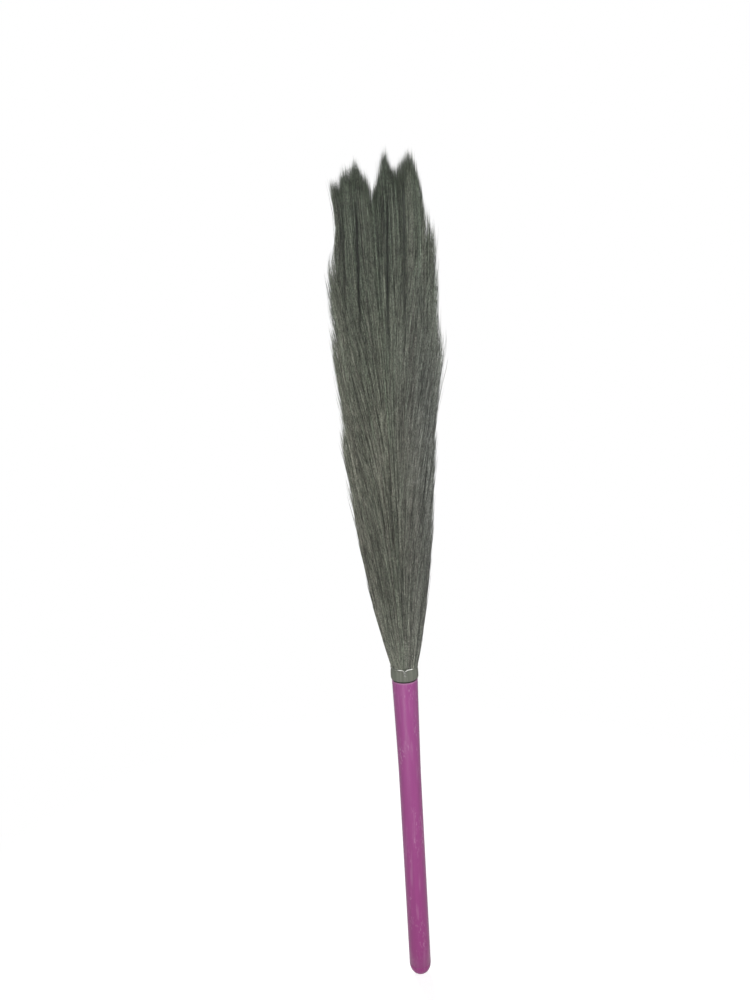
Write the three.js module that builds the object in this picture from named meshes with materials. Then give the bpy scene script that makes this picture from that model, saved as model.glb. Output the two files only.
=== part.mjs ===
// Soft bristle broom, upright on the end of its handle, with the bristles up.
// Millimetres, +Z up along the handle, -Y is the front. The origin is the middle of the hand's grip.
import * as THREE from 'three';

// Heights below are measured up from the end of the handle.
const OVERALL_LENGTH = 1100;
const GRIP_HEIGHT = 200;

// Handle: a plastic tube with its mouth spread into a cone, closed by a domed plug.
const TUBE_DIAMETER = 30;
const TUBE_WALL = 1.5;
const MOUTH_HEIGHT = 439;
const MOUTH_DIAMETER = 34.5;
const FLARE_LENGTH = 135;
const MOUTH_LIP = 0.7;
const BORE_CHAMFER = 0.3;
const DOME_HEIGHT = 16.5;
const DOME_STEPS = 8;
const END_FLAT_DIAMETER = 8;
const SPIGOT_LENGTH = 26;
const SPIGOT_WALL = 1.8;
const SPIGOT_LEAD = 0.5;
const BARBS = 3;
const BARB_HEIGHT = 0.5;
const BARB_RISE = 0.65;
const BARB_SLOPE = 2.6;
const HOLLOW_FLOOR = 5;
const HOLLOW_CORNER = 5;

// Bound butts of the four bunches. The neck is where they bulge over the mouth of the tube.
const BUTT_DEPTH = 150;
const BUTT_SHOULDER = 1.5;
const NECK_DIAMETER = 36.8;
const NECK_RISE = 5;
const NECK_ROUND = 1;
const NECK_SHOULDER = 4;
const ROOT_HEIGHT = 8.5;
const ROOT_FLARE = 0.6;
const RIBS_PER_BUNCH = 8;
const RIB_DEPTH = 0.5;
const INNER_STEPS = 4;

// Wire ties.
const WIRE_DIAMETER = 1.4;
const NECK_WIRE_HEIGHT = 18.5;
const TAIL_LENGTH = 7;
const TAIL_TURNS = 1;
const TAIL_GAP = 0.75;
const TAIL_OPENING = 0.24;
const TIE_GAP = 0.15;
const BUTT_WIRE_DIAMETER = 1.0;
const BUTT_WIRE_TURNS = 3;
const BUTT_WIRE_PITCH = 1.6;
const BUTT_WIRE_HEIGHT = 10;

// Wooden peg in the middle of the butts.
const PEG_LENGTH = 168;
const PEG_DIAMETER = 13;
const PEG_TIP_DIAMETER = 5;

// Head: half width and half depth spread from the neck along a curve that levels off.
const FAN_WIDTH = 154;
const FAN_DEPTH = 70;
const SPREAD_LENGTH = 190;
const STRAND_BENDS = [80, 240, 420];
const STRAND_FILL = 0.4;
const STRAND_INSET = 0.45;
const GATHER = 0.5;
const LOCK_DROP = 26;
const LOCK_DROP_VARIATION = 0.5;
const PEAK_SPACING = 0.5;
const VALLEY_DEPTH = 30;
const VALLEY_VARIATION = 0.3;
const SIDE_FROM = 0.62;
const SIDE_DROP = 150;
// Rows of locks in a bunch, from the middle of the neck out, and the even rows of strands in each lock.
const LOCK_ROWS = [
  { from: 0.2, to: 0.32, locks: 1, deep: 1, wide: 4 },
  { from: 0.32, to: 0.62, locks: 3, deep: 3, wide: 3 },
  { from: 0.62, to: 0.98, locks: 5, deep: 3, wide: 3 },
];

// Gaps between pieces that touch.
const FIT_GAP = 0.3;
const BUNCH_GAP = 0.4;

const ROUND_STEPS = 48;
const WIRE_STEPS = 24;
const NECK_WIRE_STEPS = 112;
const GAP_STEPS = 600;

const tubeRadius = TUBE_DIAMETER / 2;
const mouthRadius = MOUTH_DIAMETER / 2;
const neckRadius = NECK_DIAMETER / 2;
const boreRadius = tubeRadius - TUBE_WALL;
const tubeBottom = DOME_HEIGHT + FIT_GAP;
const flareStart = MOUTH_HEIGHT - FLARE_LENGTH;
const buttBottom = MOUTH_HEIGHT - BUTT_DEPTH;
const neckWireHeight = MOUTH_HEIGHT + NECK_WIRE_HEIGHT;
const buttWireHeight = buttBottom + BUTT_WIRE_HEIGHT;
const headLength = OVERALL_LENGTH - neckWireHeight;

const plastic = (colour) => new THREE.MeshStandardMaterial({ color: colour, roughness: 0.35 });
const fibre = (colour) => new THREE.MeshStandardMaterial({ color: colour, roughness: 0.8 });
const steel = () => new THREE.MeshStandardMaterial({ color: 0xc4c6c4, roughness: 0.3, metalness: 1 });
const wood = () => new THREE.MeshStandardMaterial({ color: 0xb98d5c, roughness: 0.7 });

// A repeatable number from 0 to 1 for a whole number.
function chance(seed) {
  const wave = Math.sin(seed * 127.1 + 11.7) * 43758.5453;
  return wave - Math.floor(wave);
}

// A repeatable factor about 1 that differs from it by no more than a share.
function vary(seed, share) {
  return 1 + share * (2 * chance(seed) - 1);
}

function turned(profile, steps = ROUND_STEPS) {
  const points = profile.map(([radius, height]) => new THREE.Vector2(radius, height));
  return new THREE.LatheGeometry(points, steps).rotateX(Math.PI / 2);
}

// A skin under construction: points and the triangles between them, each counter-clockwise from outside.
class Skin {
  constructor() {
    this.places = [];
    this.faces = [];
  }

  // Adds a ring of points and returns the number of its first.
  ring(points) {
    const start = this.places.length / 3;
    for (const point of points) this.places.push(point.x, point.y, point.z);
    return start;
  }

  // Joins two rings of equally many points, the first below the second.
  wrap(low, high, count) {
    for (let i = 0; i < count; i++) {
      const j = (i + 1) % count;
      this.faces.push(low + i, low + j, high + j, low + i, high + j, high + i);
    }
  }

  // Joins a ring to a single point above it.
  point(low, tip, count) {
    for (let i = 0; i < count; i++) this.faces.push(low + i, low + ((i + 1) % count), tip);
  }

  geometry() {
    const geometry = new THREE.BufferGeometry();
    geometry.setAttribute('position', new THREE.Float32BufferAttribute(this.places, 3));
    geometry.setIndex(this.faces);
    return geometry;
  }
}

function wire(path, diameter, steps) {
  const outline = new THREE.Shape();
  outline.absarc(0, 0, diameter / 2, 0, 2 * Math.PI);
  const sweep = { steps, curveSegments: 3, bevelEnabled: false, extrudePath: path };
  return new THREE.ExtrudeGeometry(outline, sweep);
}

// The least space between a wire and itself, off the points of its middle line.
function leastGap(path, diameter) {
  const points = path.getSpacedPoints(GAP_STEPS);
  const apart = Math.ceil((4 * diameter) / (path.getLength() / GAP_STEPS));
  let least = Infinity;
  for (let i = 0; i < points.length; i++) {
    for (let j = i + apart; j < points.length; j++) {
      least = Math.min(least, points[i].distanceTo(points[j]));
    }
  }
  return least - diameter;
}

// Inside radius of the tube at a height: straight, then spreading evenly to the mouth.
function boreAt(height) {
  const share = THREE.MathUtils.clamp((height - flareStart) / FLARE_LENGTH, 0, 1);
  return boreRadius + (mouthRadius - tubeRadius) * share;
}

function handleTube() {
  const bore = boreAt(MOUTH_HEIGHT);
  const round = MOUTH_LIP * (1 - Math.SQRT1_2);
  return turned([
    [boreRadius, tubeBottom],
    [tubeRadius, tubeBottom],
    [tubeRadius, flareStart],
    [mouthRadius, MOUTH_HEIGHT - MOUTH_LIP],
    [mouthRadius - round, MOUTH_HEIGHT - round],
    [mouthRadius - MOUTH_LIP, MOUTH_HEIGHT],
    [bore + BORE_CHAMFER, MOUTH_HEIGHT],
    [bore, MOUTH_HEIGHT - BORE_CHAMFER],
    [boreRadius, flareStart],
    [boreRadius, tubeBottom],
  ]);
}

// The dome is half an ellipsoid with its tip cut off flat, on a barbed spigot that is hollow from above.
function endPlug() {
  const flat = END_FLAT_DIAMETER / 2;
  const lowest = Math.asin(flat / tubeRadius);
  const stretch = DOME_HEIGHT / Math.cos(lowest);
  const profile = [[0, 0]];
  for (let k = 0; k <= DOME_STEPS; k++) {
    const angle = THREE.MathUtils.lerp(lowest, Math.PI / 2, k / DOME_STEPS);
    profile.push([tubeRadius * Math.sin(angle), DOME_HEIGHT - stretch * Math.cos(angle)]);
  }
  const crest = boreRadius - FIT_GAP;
  const outer = crest - BARB_HEIGHT;
  const inner = outer - SPIGOT_WALL;
  const top = DOME_HEIGHT + SPIGOT_LENGTH;
  const pitch = SPIGOT_LENGTH / (BARBS + 1);
  profile.push([outer, DOME_HEIGHT]);
  for (let k = 1; k <= BARBS; k++) {
    const foot = DOME_HEIGHT + pitch * k;
    profile.push([outer, foot]);
    profile.push([crest, foot + BARB_RISE]);
    profile.push([outer, foot + BARB_RISE + BARB_SLOPE]);
  }
  profile.push([outer - SPIGOT_LEAD, top]);
  profile.push([inner, top]);
  profile.push([inner, HOLLOW_FLOOR + HOLLOW_CORNER]);
  profile.push([inner - HOLLOW_CORNER, HOLLOW_FLOOR]);
  profile.push([0, HOLLOW_FLOOR]);
  return turned(profile);
}

// Radius of the peg at a height, from its thick lower end to its tip.
function pegAt(height) {
  const bottom = buttBottom - FIT_GAP;
  const share = THREE.MathUtils.clamp((height - bottom) / PEG_LENGTH, 0, 1);
  return THREE.MathUtils.lerp(PEG_DIAMETER, PEG_TIP_DIAMETER, share) / 2;
}

function wedgePeg() {
  const bottom = buttBottom - FIT_GAP;
  return turned([
    [0, bottom],
    [pegAt(bottom), bottom],
    [pegAt(bottom + PEG_LENGTH), bottom + PEG_LENGTH],
    [0, bottom + PEG_LENGTH],
  ], ROUND_STEPS / 2);
}

const buttWireSpan = BUTT_WIRE_TURNS * BUTT_WIRE_PITCH;
const buttWaist = boreRadius - FIT_GAP * 2 - BUTT_WIRE_DIAMETER;
const neckWaist = neckRadius - WIRE_DIAMETER;

// Heights and outside radii of the bound butts: pressed against the tube, bulging over its mouth,
// and drawn in under both wires.
function buttStations() {
  const inTube = (height) => [height, boreAt(height) - FIT_GAP];
  const wireRoom = buttWireSpan / 2 + BUTT_WIRE_DIAMETER;
  const neckRoom = WIRE_DIAMETER / 2 + FIT_GAP;
  return [
    inTube(buttBottom),
    inTube(buttWireHeight - wireRoom - BUTT_SHOULDER),
    [buttWireHeight - wireRoom, buttWaist - FIT_GAP],
    [buttWireHeight + wireRoom, buttWaist - FIT_GAP],
    inTube(buttWireHeight + wireRoom + BUTT_SHOULDER),
    inTube(MOUTH_HEIGHT + FIT_GAP),
    [MOUTH_HEIGHT + NECK_ROUND * 2, neckRadius - NECK_ROUND],
    [MOUTH_HEIGHT + NECK_RISE, neckRadius],
    [neckWireHeight - neckRoom - NECK_SHOULDER, neckRadius],
    [neckWireHeight - neckRoom, neckWaist - FIT_GAP],
    [neckWireHeight + neckRoom, neckWaist - FIT_GAP],
    [neckWireHeight + ROOT_HEIGHT, neckRadius + ROOT_FLARE],
  ];
}

// Half the angle of a bunch at a radius: a quarter of the bundle, less a set distance at each side.
function quarterEdge(radius, inset) {
  return Math.PI / 4 - Math.asin(inset / radius);
}

// One quarter of the bundle, ribbed on the outside like the stems it is bound from.
function buttOutline(height, radius, middle) {
  const ring = [];
  const inner = pegAt(height) + FIT_GAP;
  const edge = (at) => quarterEdge(at, BUNCH_GAP / 2);
  const place = (at, angle) => new THREE.Vector3(at * Math.cos(angle), at * Math.sin(angle), height);
  const steps = RIBS_PER_BUNCH * 3;
  for (let k = 0; k <= steps; k++) {
    const at = radius - (k % 3 === 0 ? RIB_DEPTH : 0);
    ring.push(place(at, middle - edge(at) + (2 * edge(at) * k) / steps));
  }
  for (let k = INNER_STEPS; k >= 0; k--) {
    ring.push(place(inner, middle - edge(inner) + (2 * edge(inner) * k) / INNER_STEPS));
  }
  return ring;
}

// The head's half width or half depth at a height over the neck wire, out of its full size.
function spread(full, height) {
  const level = (at) => 1 - Math.exp((ROOT_HEIGHT - at) / SPREAD_LENGTH);
  return neckRadius + (full / 2 - neckRadius) * (level(height) / level(headLength));
}

// All strands have rings at the same heights and run straight between them, each in its own share of the
// neck's round section, so that none can cross.
const ringHeights = [ROOT_HEIGHT, ...STRAND_BENDS, headLength];
const ringWidths = ringHeights.map((height) => spread(FAN_WIDTH, height));
const ringDepths = ringHeights.map((height) => spread(FAN_DEPTH, height));
const gatherFrom = ringHeights[ringHeights.length - 2];

function along(list, height) {
  let k = 0;
  while (k + 2 < ringHeights.length && height > ringHeights[k + 1]) k++;
  const share = (height - ringHeights[k]) / (ringHeights[k + 1] - ringHeights[k]);
  return THREE.MathUtils.lerp(list[k], list[k + 1], share);
}

function inHead(across, deep, height) {
  const x = across * along(ringWidths, height);
  const y = deep * along(ringDepths, height);
  return new THREE.Vector3(x, y, neckWireHeight + height);
}

// How high a lock reaches: three peaks across the head, with its sides ending lower.
function lockTip(across, seed) {
  const valley = 0.5 - 0.5 * Math.cos((2 * Math.PI * across) / PEAK_SPACING);
  const side = Math.max(0, Math.abs(across) - SIDE_FROM) / (1 - SIDE_FROM);
  return headLength - VALLEY_DEPTH * valley * vary(seed, VALLEY_VARIATION) - SIDE_DROP * side;
}

// Rings of one three-sided strand, drawn towards the middle of its lock over its upper part.
// Its place in the neck is a radius and a share of the bunch's quarter, from -1 to 1.
function strandRings(middle, lock, radius, turn, thickness, tip) {
  const drawn = (height) => {
    const share = Math.max(0, (height - gatherFrom) / (headLength - gatherFrom));
    const keep = 1 - GATHER * share;
    const at = lock.radius + (radius - lock.radius) * keep;
    const swing = lock.turn + (turn - lock.turn) * keep;
    return [at, middle + swing * quarterEdge(at * neckRadius, STRAND_INSET)];
  };
  const rings = ringHeights.slice(0, -1).map((height) => {
    const [at, angle] = drawn(height);
    return [0, 1, 2].map((corner) => {
      const side = angle + (corner * 2 * Math.PI) / 3;
      const across = at * Math.cos(angle) + thickness * Math.cos(side);
      const deep = at * Math.sin(angle) + thickness * Math.sin(side);
      return inHead(across, deep, height);
    });
  });
  const [at, angle] = drawn(tip);
  rings.push([inHead(at * Math.cos(angle), at * Math.sin(angle), tip)]);
  return rings;
}

function bunchStrands(middle, seed) {
  const strands = [];
  let count = seed;
  for (const row of LOCK_ROWS) {
    const radiusStep = (row.to - row.from) / row.deep;
    const turnStep = 2 / row.locks / row.wide;
    for (let k = 0; k < row.locks; k++) {
      const lock = { radius: (row.from + row.to) / 2, turn: (2 * k + 1) / row.locks - 1 };
      const reach = lockTip(lock.radius * Math.cos(middle + (lock.turn * Math.PI) / 4), count);
      for (let i = 0; i < row.deep; i++) {
        for (let j = 0; j < row.wide; j++) {
          count++;
          const outward = i - (row.deep - 1) / 2;
          const sideways = j - (row.wide - 1) / 2;
          const radius = lock.radius + radiusStep * outward;
          const apart = radius * turnStep * quarterEdge(radius * neckRadius, STRAND_INSET);
          const thickness = STRAND_FILL * Math.min(radiusStep, apart);
          const outlying = Math.abs(outward) + Math.abs(sideways);
          const tip = reach - outlying * LOCK_DROP * vary(count, LOCK_DROP_VARIATION);
          const turn = lock.turn + turnStep * sideways;
          strands.push(strandRings(middle, lock, radius, turn, thickness, tip));
        }
      }
    }
  }
  return strands;
}

// One bunch: the bound butt with its strands rising from the top of it.
function bunch(middle, seed) {
  const skin = new Skin();
  const flat = (ring) => ring.map((point) => new THREE.Vector2(point.x, point.y));
  const rings = buttStations().map(([height, radius]) => buttOutline(height, radius, middle));
  const count = rings[0].length;
  const starts = rings.map((ring) => skin.ring(ring));
  for (let k = 0; k + 1 < starts.length; k++) skin.wrap(starts[k], starts[k + 1], count);
  for (const [a, b, c] of THREE.ShapeUtils.triangulateShape(flat(rings[0]), [])) skin.faces.push(a, c, b);

  const strands = bunchStrands(middle, seed);
  const top = starts[starts.length - 1];
  const roots = strands.map((strand) => skin.ring(strand[0]));
  const cap = THREE.ShapeUtils.triangulateShape(
    flat(rings[rings.length - 1]), strands.map((strand) => flat(strand[0])));
  for (const face of cap) skin.faces.push(...face.map((corner) => top + corner));
  strands.forEach((strand, k) => {
    let below = roots[k];
    for (const ring of strand.slice(1, -1)) {
      const above = skin.ring(ring);
      skin.wrap(below, above, 3);
      below = above;
    }
    skin.point(below, skin.ring(strand[strand.length - 1]), 3);
  });
  return skin.geometry();
}

// One loop round the neck. Both ends turn down at the front and are twisted into a short tail.
function neckWirePath() {
  const loop = neckWaist + TIE_GAP + WIRE_DIAMETER / 2;
  const twist = (WIRE_DIAMETER + TAIL_GAP) / 2;
  const tailOut = neckRadius + FIT_GAP + twist + WIRE_DIAMETER / 2;
  const tailTop = neckWireHeight - WIRE_DIAMETER;
  const tailSteps = 10;
  const tailPoint = (side, share) => {
    const angle = side + share * TAIL_TURNS * 2 * Math.PI;
    return new THREE.Vector3(
      twist * Math.cos(angle), -tailOut + twist * Math.sin(angle), tailTop - share * TAIL_LENGTH);
  };
  const points = [];
  for (let k = tailSteps; k >= 0; k--) points.push(tailPoint(0, k / tailSteps));
  for (let k = 0; k <= WIRE_STEPS; k++) {
    const round = THREE.MathUtils.lerp(TAIL_OPENING, 2 * Math.PI - TAIL_OPENING, k / WIRE_STEPS);
    const angle = round - Math.PI / 2;
    points.push(new THREE.Vector3(loop * Math.cos(angle), loop * Math.sin(angle), neckWireHeight));
  }
  for (let k = 0; k <= tailSteps; k++) points.push(tailPoint(Math.PI, k / tailSteps));
  return new THREE.CatmullRomCurve3(points, false, 'centripetal');
}

function buttWirePath() {
  const radius = buttWaist + BUTT_WIRE_DIAMETER / 2;
  const steps = BUTT_WIRE_TURNS * WIRE_STEPS;
  const points = [];
  for (let k = 0; k <= steps; k++) {
    const angle = (k / WIRE_STEPS) * 2 * Math.PI;
    const height = buttWireHeight + buttWireSpan * (k / steps - 0.5);
    points.push(new THREE.Vector3(radius * Math.cos(angle), radius * Math.sin(angle), height));
  }
  return new THREE.CatmullRomCurve3(points, false, 'centripetal');
}

const broom = new THREE.Group();
broom.name = 'soft_bristle_broom';
const upright = new THREE.Group();
upright.position.z = -GRIP_HEIGHT;
broom.add(upright);

function place(name, geometry, material) {
  const mesh = new THREE.Mesh(geometry, material);
  mesh.name = name;
  upright.add(mesh);
}

place('handle_tube', handleTube(), plastic(0x9c5488));
place('end_plug', endPlug(), plastic(0x96507f));
place('wedge_peg', wedgePeg(), wood());

place('bunch_front', bunch(-Math.PI / 2, 100), fibre(0x70756a));
place('bunch_right', bunch(0, 300), fibre(0x666b60));
place('bunch_back', bunch(Math.PI / 2, 500), fibre(0x62675c));
place('bunch_left', bunch(Math.PI, 700), fibre(0x6a6f64));

const neckWire = neckWirePath();
place('neck_wire', wire(neckWire, WIRE_DIAMETER, NECK_WIRE_STEPS), steel());
const buttWire = buttWirePath();
place('butt_wire', wire(buttWire, BUTT_WIRE_DIAMETER, BUTT_WIRE_TURNS * WIRE_STEPS), steel());
console.log('neck_wire least gap to itself', leastGap(neckWire, WIRE_DIAMETER).toFixed(2));
console.log('butt_wire least gap to itself', leastGap(buttWire, BUTT_WIRE_DIAMETER).toFixed(2));

export default broom;
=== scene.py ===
import math

import bpy
import numpy as np
from mathutils import Matrix, Vector


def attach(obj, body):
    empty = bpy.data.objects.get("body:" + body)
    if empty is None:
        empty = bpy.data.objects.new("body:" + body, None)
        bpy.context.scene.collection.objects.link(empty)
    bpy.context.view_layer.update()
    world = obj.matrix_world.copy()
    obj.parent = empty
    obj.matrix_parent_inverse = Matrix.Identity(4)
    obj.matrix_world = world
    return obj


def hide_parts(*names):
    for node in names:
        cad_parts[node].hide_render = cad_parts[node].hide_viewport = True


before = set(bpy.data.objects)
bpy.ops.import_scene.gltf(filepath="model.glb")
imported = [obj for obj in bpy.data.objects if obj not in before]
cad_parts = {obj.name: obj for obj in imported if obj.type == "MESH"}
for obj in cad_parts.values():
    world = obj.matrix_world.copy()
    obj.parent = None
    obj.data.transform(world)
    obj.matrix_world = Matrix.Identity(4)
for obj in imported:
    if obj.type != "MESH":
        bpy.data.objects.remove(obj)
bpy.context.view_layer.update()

# Bound butts of the four bunches
# The lower ends of the bristles, pressed hard together until they are almost solid, with the lines of
# the stems still showing. Each bunch is a quarter of the round bundle and goes down into the handle.
MM = 0.001
BORE_RADIUS = 13.5 * MM
FLARE_BOTTOM_Z = 104 * MM
MOUTH_Z = 239 * MM
MOUTH_BORE_RADIUS = 15.75 * MM
MOUTH_CLEARANCE = 0.9 * MM
NECK_RADIUS = 18.4 * MM
NECK_WIRE_Z = 257.5 * MM
BUTT_BOTTOM_Z = 89 * MM
BUTT_TOP_Z = 264 * MM
BUTT_GAP = 0.35 * MM
BUTT_SHOULDER = 1.5 * MM
INNER_WAIST_RADIUS = BORE_RADIUS - 2.0 * MM
INNER_WAIST_BOTTOM_Z = 95.5 * MM
INNER_WAIST_TOP_Z = 102.5 * MM
PEG_HOLLOW_RADIUS = 6.8 * MM
PEG_TIP_HOLLOW_RADIUS = 3.0 * MM
PEG_TIP_Z = 256.5 * MM
MID_WALL_RADIUS = 9 * MM
# How the neck bulges: in from its radius and up from the mouth, then in and down from the wire.
NECK_FOOT = np.array([(1.6, 1.3), (0.6, 2.2), (0.15, 3.6), (0, 6)]) * MM
NECK_SHOULDER = np.array([(0.1, 6), (0.5, 3), (1.7, 1)]) * MM
BUTT_STEMS = 20
STEM_FACES = 3
STEM_GROOVE = 0.986
BUNCH_GAP = 0.3 * MM
STEM_GREEN = (0.101, 0.113, 0.092, 1)
STEM_STRAW = (0.128, 0.128, 0.109, 1)


def turned(name, stations, sides):
    """A round piece drawn up from a circle, one ring for each radius and height."""
    bpy.ops.object.select_all(action="DESELECT")
    radius, height = stations[0]
    bpy.ops.mesh.primitive_circle_add(vertices=sides, radius=radius, location=(0, 0, height))
    piece = bpy.context.active_object
    piece.name = piece.data.name = name
    bpy.ops.object.transform_apply(location=True, rotation=True, scale=True)
    bpy.ops.object.mode_set(mode="EDIT")
    bpy.ops.mesh.select_all(action="SELECT")
    for next_radius, next_height in stations[1:]:
        bpy.ops.mesh.extrude_edges_move(
            TRANSFORM_OT_translate={"value": (0, 0, next_height - height)})
        grow = next_radius / radius
        bpy.ops.transform.resize(value=(grow, grow, 1), center_override=(0, 0, next_height))
        radius, height = next_radius, next_height
    bpy.ops.mesh.select_all(action="SELECT")
    bpy.ops.mesh.remove_doubles(threshold=0.01 * MM)
    bpy.ops.mesh.select_non_manifold()
    bpy.ops.mesh.fill_holes(sides=0)
    bpy.ops.mesh.select_all(action="SELECT")
    bpy.ops.mesh.normals_make_consistent(inside=False)
    bpy.ops.object.mode_set(mode="OBJECT")
    return piece


def bore_at(height):
    """Inside radius of the handle: straight, then spreading to its mouth."""
    share = min(1, max(0, (height - FLARE_BOTTOM_Z) / (MOUTH_Z - FLARE_BOTTOM_Z)))
    return BORE_RADIUS + (MOUTH_BORE_RADIUS - BORE_RADIUS) * share


def in_bore(height):
    """A station of the butts that lies just inside the bore."""
    return bore_at(height) - BUTT_GAP, height


butt_outside = [
    in_bore(BUTT_BOTTOM_Z),
    in_bore(INNER_WAIST_BOTTOM_Z - BUTT_SHOULDER),
    (INNER_WAIST_RADIUS, INNER_WAIST_BOTTOM_Z),
    (INNER_WAIST_RADIUS, INNER_WAIST_TOP_Z),
    in_bore(FLARE_BOTTOM_Z),
    in_bore(MOUTH_Z),
    in_bore(MOUTH_Z + MOUTH_CLEARANCE),
]
butt_outside += [(NECK_RADIUS - inset, MOUTH_Z + up) for inset, up in NECK_FOOT]
butt_outside += [(NECK_RADIUS - inset, NECK_WIRE_Z - down) for inset, down in NECK_SHOULDER]
wire_waist = butt_outside[-1][0]
butt_outside.append((wire_waist, BUTT_TOP_Z))
butt_inside = [
    (PEG_TIP_HOLLOW_RADIUS, BUTT_TOP_Z),
    (PEG_TIP_HOLLOW_RADIUS, PEG_TIP_Z),
    (PEG_HOLLOW_RADIUS, BUTT_BOTTOM_Z),
    butt_outside[0],
]
butt_sides = 4 * BUTT_STEMS * STEM_FACES
bundle = turned("butt_front", butt_outside + butt_inside, butt_sides)
bpy.ops.object.mode_set(mode="EDIT")
bpy.ops.mesh.select_all(action="DESELECT")
bpy.ops.object.mode_set(mode="OBJECT")
for vertex in bundle.data.vertices:
    step = math.atan2(vertex.co.y, vertex.co.x) / math.tau * butt_sides
    on_outside = math.hypot(vertex.co.x, vertex.co.y) > MID_WALL_RADIUS
    vertex.select = on_outside and round(step) % STEM_FACES == 0
bpy.ops.object.mode_set(mode="EDIT")
bpy.ops.transform.resize(value=(STEM_GROOVE, STEM_GROOVE, 1), center_override=(0, 0, 0))
for side in (-1, 1):
    away = (side * math.sqrt(0.5), math.sqrt(0.5), 0)
    bpy.ops.mesh.select_all(action="SELECT")
    bpy.ops.mesh.bisect(
        plane_co=[-part * BUNCH_GAP / 2 for part in away], plane_no=away,
        use_fill=True, clear_outer=True, threshold=0.001 * MM)
bpy.ops.mesh.select_all(action="SELECT")
bpy.ops.mesh.normals_make_consistent(inside=False)
bpy.ops.object.mode_set(mode="OBJECT")
bpy.ops.object.shade_smooth_by_angle(angle=math.radians(40))

butts = {"front": bundle}
for quarter_turns, name in enumerate(["right", "back", "left"], start=1):
    butt = bundle.copy()
    butt.data = bundle.data.copy()
    butt.name = butt.data.name = "butt_" + name
    butt.data.transform(Matrix.Rotation(quarter_turns * math.pi / 2, 4, "Z"))
    bpy.context.collection.objects.link(butt)
    butts[name] = butt


class Signal:
    """A socket of a material. Sums and products of signals add Math nodes."""

    def __init__(self, tree, socket=None):
        self.tree = tree
        self.socket = socket

    def node(self, kind, settings=None, inputs=None, output=0):
        """Any other node: its settings are set first, then the values or links of its sockets."""
        made = self.tree.nodes.new(kind)
        for name, value in (settings or {}).items():
            setattr(made, name, value)
        for name, value in (inputs or {}).items():
            if isinstance(value, Signal):
                self.tree.links.new(value.socket, made.inputs[name])
            else:
                made.inputs[name].default_value = value
        return Signal(self.tree, made.outputs[output] if made.outputs else None)

    def maths(self, operation, first, second):
        return self.node("ShaderNodeMath", {"operation": operation}, {0: first, 1: second})

    def __add__(self, other):
        return self.maths("ADD", self, other)

    def __radd__(self, other):
        return self.maths("ADD", other, self)

    def __sub__(self, other):
        return self.maths("SUBTRACT", self, other)

    def __rsub__(self, other):
        return self.maths("SUBTRACT", other, self)

    def __mul__(self, other):
        return self.maths("MULTIPLY", self, other)

    def __rmul__(self, other):
        return self.maths("MULTIPLY", other, self)


def finish(name, roughness=0.5, specular=0.5):
    """A new material, its shader node and a signal to build its pattern from."""
    material = bpy.data.materials.new(name)
    material.use_nodes = True
    shader = material.node_tree.nodes["Principled BSDF"]
    shader.inputs["Roughness"].default_value = roughness
    shader.inputs["Specular IOR Level"].default_value = specular
    return material, shader, Signal(material.node_tree)


def feed(shader, **sockets):
    """Joins signals to the shader's sockets, named with _ for a space."""
    for name, signal in sockets.items():
        signal.tree.links.new(signal.socket, shader.inputs[name.replace("_", " ")])


def place_along(start, axis):
    """How far along an axis a point is, in Object coordinates."""
    place = start.node("ShaderNodeTexCoord", output="Object")
    return start.node("ShaderNodeSeparateXYZ", inputs={0: place}, output=axis)


def stretched_noise(start, scale, detail=3.0):
    """Noise from 0 to 1 on Object coordinates, with its own scale along each axis."""
    place = start.node("ShaderNodeTexCoord", output="Object")
    sized = start.node("ShaderNodeMapping", inputs={"Vector": place, "Scale": scale})
    return start.node("ShaderNodeTexNoise", inputs={"Vector": sized, "Scale": 1.0, "Detail": detail})


def ranged(value, first, last, to_first=0.0, to_last=1.0, soft=False):
    """A signal moved from one range to another and held at its ends, eased into them if soft."""
    return value.node(
        "ShaderNodeMapRange", {"interpolation_type": "SMOOTHSTEP" if soft else "LINEAR"},
        {"Value": value, "From Min": first, "From Max": last, "To Min": to_first, "To Max": to_last})


def shaded(start, colour, level):
    """A colour made darker or lighter by a level about 1."""
    return start.node("ShaderNodeVectorMath", {"operation": "SCALE"}, {0: colour, "Scale": level})


def mixed(start, factor, first, second):
    """Two colours mixed by a factor from 0 to 1."""
    return start.node(
        "ShaderNodeMix", {"data_type": "RGBA"}, {"Factor": factor, 6: first, 7: second}, output=2)


def raised(height, strength, distance):
    """A bump from a signal, for a shader's Normal."""
    return height.node(
        "ShaderNodeBump", inputs={"Strength": strength, "Distance": distance, "Height": height})


stem_material, stem_shader, start = finish("bound_stems", roughness=0.6, specular=0.15)
stem_lines = stretched_noise(start, (420, 420, 12))
stem_blotches = stretched_noise(start, (130, 130, 60))
stem_colour = mixed(start, stem_blotches, STEM_GREEN, STEM_STRAW)
# Painted shade: the butts are darkened just above the handle's mouth, in the gap under the bulging neck.
mouth_painted_shade = ranged(
    place_along(start, "Z"), MOUTH_Z + 0.5 * MM, MOUTH_Z + 3.5 * MM, 0.25, 1.0, soft=True)
feed(
    stem_shader,
    Base_Color=shaded(start, stem_colour, mouth_painted_shade * (0.50 + 1.0 * stem_lines)),
    Normal=raised(stem_lines, 0.35, 0.3 * MM))
for name, butt in butts.items():
    butt.data.materials.append(stem_material)
    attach(butt, "root")
    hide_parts("bunch_" + name)

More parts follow.
